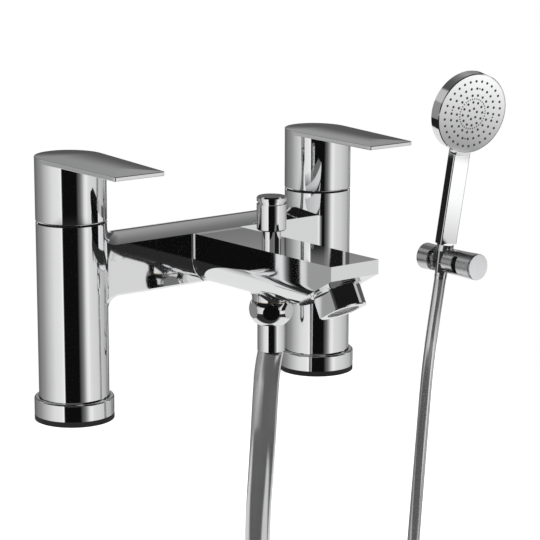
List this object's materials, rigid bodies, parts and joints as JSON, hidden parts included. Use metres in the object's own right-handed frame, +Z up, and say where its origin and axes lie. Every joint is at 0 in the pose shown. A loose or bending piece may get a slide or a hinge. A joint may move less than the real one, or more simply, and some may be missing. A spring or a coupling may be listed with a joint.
{
  "type": "bath shower mixer",
  "caption": "Deck bath mixer with two quarter-turn levers, a pull-up diverter on the spout, a smooth hose and a round handset parked in a turning wall holder.",
  "frame": {"origin": "on the deck plane under the base washers, midway between the two inlets", "axes": "+X along the bridge, the spout points to -Y, the wall behind the handset is at +Y, +Z up"},
  "size_m": [1.2032, 1.0482, 0.7833],
  "materials": {
    "chrome_brass": "polished chrome plate on brass",
    "satin_chrome": "satin chrome plate on cast zinc",
    "chrome_plastic": "chrome-plated plastic",
    "hose_cover": "smooth silver plastic cover",
    "brass": "machined",
    "ceramic": "lapped ceramic",
    "black_rubber": "matte black",
    "nozzle_rubber": "dark grey, soft sheen",
    "black_plastic": "matte black",
    "grey_plastic": "matte grey",
    "steel": "plain stainless steel"
  },
  "bodies": {
    "mixer": {"mixer_body": "chrome_brass", "left_base_flange": "chrome_brass", "right_base_flange": "chrome_brass", "left_base_washer": "black_rubber", "right_base_washer": "black_rubber", "left_cartridge_seal": "black_rubber", "right_cartridge_seal": "black_rubber", "left_cartridge_housing": "brass", "right_cartridge_housing": "brass", "left_fixed_disc": "ceramic", "right_fixed_disc": "ceramic", "spout": "chrome_brass", "spout_connector": "brass", "aerator_housing": "chrome_brass", "aerator_insert": "grey_plastic", "aerator_washer": "black_rubber", "diverter_gland": "chrome_brass", "outlet_nipple": "brass", "hose_nut": "chrome_brass", "hose_washer": "black_rubber", "hose_ferrule": "chrome_brass", "shower_hose": "hose_cover", "bracket_wall_plate": "steel", "bracket_arm": "satin_chrome", "bracket_cap": "satin_chrome", "bracket_grub_screw": "steel", "tension_nut": "black_plastic", "barrel_washer": "black_plastic"},
    "left_lever": {"left_lever_handle": "chrome_brass", "left_spindle": "brass", "left_moving_disc": "ceramic", "left_lever_screw": "steel"},
    "right_lever": {"right_lever_handle": "chrome_brass", "right_spindle": "brass", "right_moving_disc": "ceramic", "right_lever_screw": "steel"},
    "diverter": {"diverter_knob": "chrome_brass", "diverter_rod": "brass", "diverter_piston": "brass", "lower_piston_seal": "black_rubber", "upper_piston_seal": "black_rubber"},
    "holder": {"holder_barrel": "satin_chrome", "holder_axle": "steel"},
    "hose_end": {"hose_end_insert": "brass", "hose_end_ferrule": "chrome_brass"},
    "handset": {"cone_nut": "chrome_brass", "inlet_washer": "black_rubber", "inlet_filter": "steel", "handset_body": "chrome_plastic", "water_plate": "black_plastic", "nozzle_mat": "nozzle_rubber", "spray_face": "chrome_plastic"}
  },
  "joints": [
    {"name": "left_lever_turn", "type": "hinge", "parent": "mixer", "child": "left_lever", "pos_m": [-0.09, 0, 0.13], "axis": [0, 0, -1], "range_deg": [0, 90]},
    {"name": "right_lever_turn", "type": "hinge", "parent": "mixer", "child": "right_lever", "pos_m": [0.09, 0, 0.13], "axis": [0, 0, 1], "range_deg": [0, 90]},
    {"name": "diverter_lift", "type": "slide", "parent": "mixer", "child": "diverter", "axis": [0, 0, 1], "range_m": [0, 0.0078]},
    {"name": "holder_tilt", "type": "hinge", "parent": "mixer", "child": "holder", "pos_m": [1.0385, 0.877, -0.193], "axis": [0, -1, 0], "range_deg": [-15, 15], "deforming": ["shower_hose"]},
    {"name": "handset_lift", "type": "slide", "parent": "holder", "child": "hose_end", "axis": [0.012, -0.1685, 0.9856], "range_m": [0, 0.04], "deforming": ["shower_hose"]},
    {"name": "handset_turn", "type": "hinge", "parent": "hose_end", "child": "handset", "pos_m": [1.0385, 0.877, -0.193], "axis": [0.012, -0.1685, 0.9856], "continuous": true}
  ]
}
